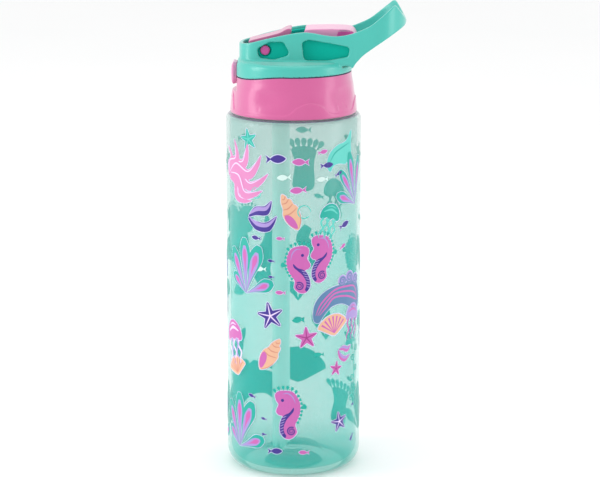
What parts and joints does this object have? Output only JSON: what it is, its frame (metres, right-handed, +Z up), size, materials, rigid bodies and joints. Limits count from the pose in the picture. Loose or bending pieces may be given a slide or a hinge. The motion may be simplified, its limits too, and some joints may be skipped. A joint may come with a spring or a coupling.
{
  "type": "water bottle",
  "caption": "Translucent bottle with a screw lid, a push-button spring-up spout, a spout shield, a straw and a carry loop.",
  "frame": {"origin": "centre of the base, on the bottle's axis, where it stands", "axes": "+Z up along the bottle's axis, +X towards the carry loop, -X towards the release button, +Y across the lid"},
  "size_m": [0.0991, 0.0746, 0.261],
  "materials": {
    "bottle_plastic": "translucent gloss",
    "collar_plastic": "satin gloss",
    "spout_plastic": "satin gloss",
    "pin_plastic": "satin",
    "shell_plastic": "satin gloss",
    "core_plastic": "satin gloss",
    "silicone": "soft matte",
    "spring_steel": "bright wire",
    "straw_plastic": "milky"
  },
  "bodies": {
    "bottle": {"bottle_body": "bottle_plastic"},
    "gasket": {"neck_gasket": "silicone"},
    "lid": {"collar": "collar_plastic", "lid_core": "core_plastic", "lid_shell": "shell_plastic", "core_o_ring": "silicone", "vent_valve": "silicone", "spout_seal": "silicone", "shield_pin": "spring_steel", "spout_spring_left": "spring_steel", "spout_spring_right": "spring_steel", "button_spring": "spring_steel", "straw": "straw_plastic"},
    "spout": {"spout": "spout_plastic", "mouthpiece": "silicone", "spout_pin_left": "pin_plastic", "spout_pin_right": "pin_plastic"},
    "shield": {"spout_shield": "spout_plastic"},
    "button": {"release_button": "collar_plastic", "latch_slider": "shell_plastic"}
  },
  "joints": [
    {"name": "lid_lift", "type": "slide", "parent": "bottle", "child": "gasket", "axis": [0, 0, 1], "range_m": [0, 0.006]},
    {"name": "lid_turn", "type": "hinge", "parent": "gasket", "child": "lid", "pos_m": [0, 0, 0.21], "axis": [0, 0, 1], "range_deg": [0, 360]},
    {"name": "spout_flip", "type": "hinge", "parent": "lid", "child": "spout", "pos_m": [-0.015, 0, 0.2364], "axis": [0, -1, 0], "range_deg": [0, 90]},
    {"name": "shield_tilt", "type": "hinge", "parent": "lid", "child": "shield", "pos_m": [0.0245, 0, 0.2364], "axis": [0, 1, 0], "range_deg": [0, 40], "stiffness_Nm_per_rad": 0.01, "springref_deg": -17.19},
    {"name": "button_press", "type": "slide", "parent": "lid", "child": "button", "axis": [1, 0, 0], "range_m": [0, 0.0014], "stiffness_N_per_m": 600, "springref_m": -0.001}
  ],
  "couplings": [
    {"joint": "lid_lift", "follows": "lid_turn", "m_per_rad": 0.00095493}
  ]
}
